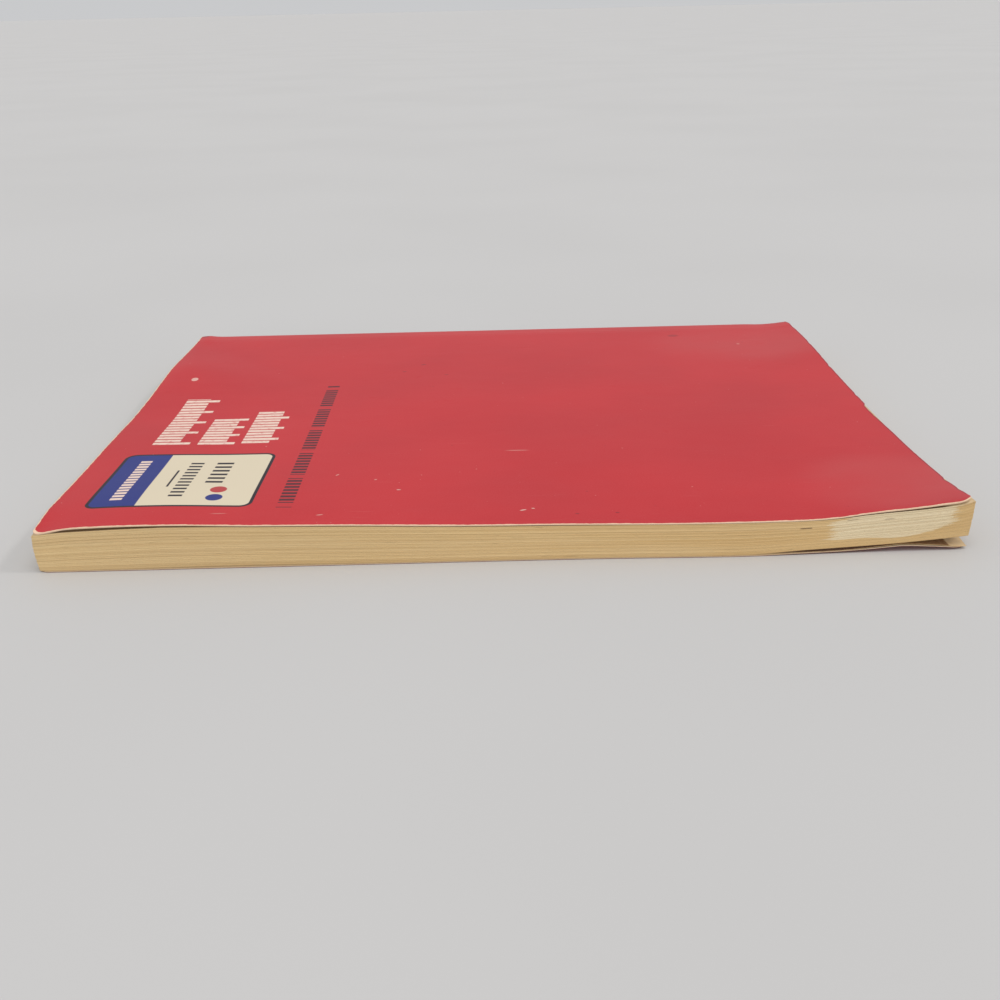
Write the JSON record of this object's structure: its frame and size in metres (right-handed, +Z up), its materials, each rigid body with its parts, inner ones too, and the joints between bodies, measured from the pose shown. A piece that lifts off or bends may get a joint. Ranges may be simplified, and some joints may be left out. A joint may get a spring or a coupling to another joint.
{
  "type": "pilot logbook",
  "caption": "Softcover letter-size flight training workbook, perfect bound: card cover wrapped round a glued block of leaves that open from both sides of the spine.",
  "frame": {"origin": "centre of the closed book's footprint, on the surface it lies on", "axes": "+X along the spine from tail to head, +Y from fore edge to spine, +Z up out of the front cover"},
  "size_m": [0.2794, 0.216, 0.016],
  "materials": {
    "cover_card": "varnished, semi-gloss outside",
    "leaf_paper": "matte, toned by age",
    "hot_melt_glue": "matte"
  },
  "bodies": {
    "binding": {"cover_spine": "cover_card", "spine_glue": "hot_melt_glue", "front_side_glue": "hot_melt_glue", "back_side_glue": "hot_melt_glue", "leaf_margins": "leaf_paper"},
    "front_cover": {"front_cover": "cover_card"},
    "first_leaf": {"first_leaf": "leaf_paper"},
    "section_01": {"section_01": "leaf_paper"},
    "section_02": {"section_02": "leaf_paper"},
    "section_03": {"section_03": "leaf_paper"},
    "section_04": {"section_04": "leaf_paper"},
    "section_05": {"section_05": "leaf_paper"},
    "section_06": {"section_06": "leaf_paper"},
    "back_cover": {"back_cover": "cover_card"},
    "last_leaf": {"last_leaf": "leaf_paper"},
    "section_12": {"section_12": "leaf_paper"},
    "section_11": {"section_11": "leaf_paper"},
    "section_10": {"section_10": "leaf_paper"},
    "section_09": {"section_09": "leaf_paper"},
    "section_08": {"section_08": "leaf_paper"},
    "section_07": {"section_07": "leaf_paper"}
  },
  "joints": [
    {"name": "front_cover_turn", "type": "hinge", "parent": "binding", "child": "front_cover", "pos_m": [0, 0.09995, 0.0115], "axis": [-1, 0, 0], "range_deg": [0, 178]},
    {"name": "first_leaf_turn", "type": "hinge", "parent": "binding", "child": "first_leaf", "pos_m": [0, 0.09995, 0.0115], "axis": [-1, 0, 0], "range_deg": [0, 175.34]},
    {"name": "section_01_turn", "type": "hinge", "parent": "binding", "child": "section_01", "pos_m": [0, 0.09995, 0.0115], "axis": [-1, 0, 0], "range_deg": [0, 172.67]},
    {"name": "section_02_turn", "type": "hinge", "parent": "binding", "child": "section_02", "pos_m": [0, 0.09995, 0.0115], "axis": [-1, 0, 0], "range_deg": [0, 165.55]},
    {"name": "section_03_turn", "type": "hinge", "parent": "binding", "child": "section_03", "pos_m": [0, 0.09995, 0.0115], "axis": [-1, 0, 0], "range_deg": [0, 154.87]},
    {"name": "section_04_turn", "type": "hinge", "parent": "binding", "child": "section_04", "pos_m": [0, 0.09995, 0.0115], "axis": [-1, 0, 0], "range_deg": [0, 138.85]},
    {"name": "section_05_turn", "type": "hinge", "parent": "binding", "child": "section_05", "pos_m": [0, 0.09995, 0.0115], "axis": [-1, 0, 0], "range_deg": [0, 117.49]},
    {"name": "section_06_turn", "type": "hinge", "parent": "binding", "child": "section_06", "pos_m": [0, 0.09995, 0.0115], "axis": [-1, 0, 0], "range_deg": [0, 89.01]},
    {"name": "back_cover_turn", "type": "hinge", "parent": "binding", "child": "back_cover", "pos_m": [0, 0.09995, 0], "axis": [1, 0, 0], "range_deg": [0, 178]},
    {"name": "last_leaf_turn", "type": "hinge", "parent": "binding", "child": "last_leaf", "pos_m": [0, 0.09995, 0], "axis": [1, 0, 0], "range_deg": [0, 175.34]},
    {"name": "section_12_turn", "type": "hinge", "parent": "binding", "child": "section_12", "pos_m": [0, 0.09995, 0], "axis": [1, 0, 0], "range_deg": [0, 172.67]},
    {"name": "section_11_turn", "type": "hinge", "parent": "binding", "child": "section_11", "pos_m": [0, 0.09995, 0], "axis": [1, 0, 0], "range_deg": [0, 165.55]},
    {"name": "section_10_turn", "type": "hinge", "parent": "binding", "child": "section_10", "pos_m": [0, 0.09995, 0], "axis": [1, 0, 0], "range_deg": [0, 154.87]},
    {"name": "section_09_turn", "type": "hinge", "parent": "binding", "child": "section_09", "pos_m": [0, 0.09995, 0], "axis": [1, 0, 0], "range_deg": [0, 138.85]},
    {"name": "section_08_turn", "type": "hinge", "parent": "binding", "child": "section_08", "pos_m": [0, 0.09995, 0], "axis": [1, 0, 0], "range_deg": [0, 117.49]},
    {"name": "section_07_turn", "type": "hinge", "parent": "binding", "child": "section_07", "pos_m": [0, 0.09995, 0], "axis": [1, 0, 0], "range_deg": [0, 89.01]}
  ],
  "couplings": [
    {"joint": "first_leaf_turn", "follows": "front_cover_turn", "ratio": 0.985},
    {"joint": "section_01_turn", "follows": "front_cover_turn", "ratio": 0.97},
    {"joint": "section_02_turn", "follows": "front_cover_turn", "ratio": 0.93},
    {"joint": "section_03_turn", "follows": "front_cover_turn", "ratio": 0.87},
    {"joint": "section_04_turn", "follows": "front_cover_turn", "ratio": 0.78},
    {"joint": "section_05_turn", "follows": "front_cover_turn", "ratio": 0.66},
    {"joint": "section_06_turn", "follows": "front_cover_turn", "ratio": 0.5},
    {"joint": "last_leaf_turn", "follows": "back_cover_turn", "ratio": 0.985},
    {"joint": "section_12_turn", "follows": "back_cover_turn", "ratio": 0.97},
    {"joint": "section_11_turn", "follows": "back_cover_turn", "ratio": 0.93},
    {"joint": "section_10_turn", "follows": "back_cover_turn", "ratio": 0.87},
    {"joint": "section_09_turn", "follows": "back_cover_turn", "ratio": 0.78},
    {"joint": "section_08_turn", "follows": "back_cover_turn", "ratio": 0.66},
    {"joint": "section_07_turn", "follows": "back_cover_turn", "ratio": 0.5}
  ]
}
